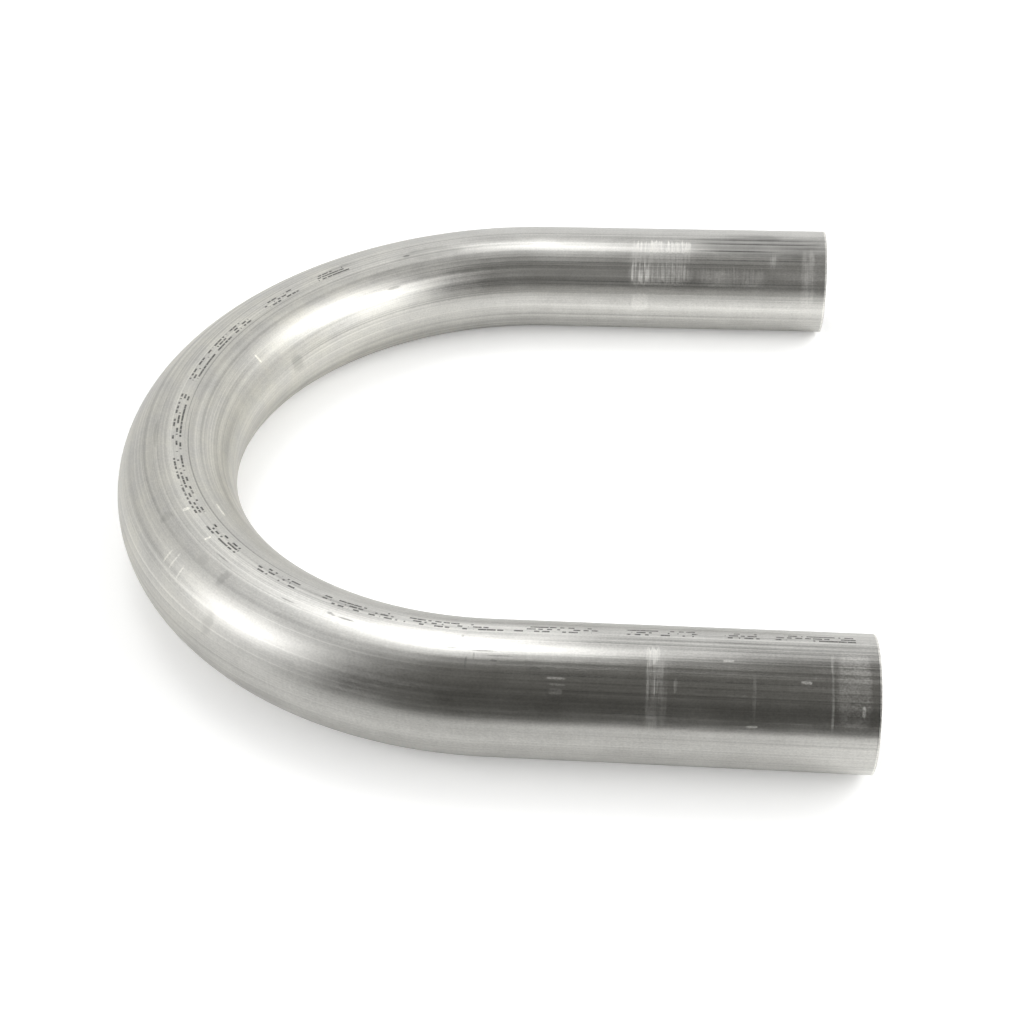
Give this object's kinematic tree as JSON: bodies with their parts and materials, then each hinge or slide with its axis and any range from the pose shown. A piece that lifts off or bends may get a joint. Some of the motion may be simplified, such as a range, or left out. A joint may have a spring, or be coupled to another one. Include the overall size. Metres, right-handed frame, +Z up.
{
  "type": "return bend",
  "caption": "Mandrel-bent round stainless tube turned back through a half circle with a straight leg on each side, joining two parallel pipe runs.",
  "frame": {"origin": "centre of the footprint, on the surface that the tube lies on", "axes": "+X along both legs, out of their open ends; +Y from the near leg to the far leg; +Z up, square to the plane of the bend"},
  "size_m": [0.3174, 0.3556, 0.0508],
  "materials": {
    "stainless_tube": "mill-finish stainless steel with a fine grain drawn along the tube"
  },
  "bodies": {
    "root": {"return_bend": "stainless_tube"}
  },
  "joints": []
}
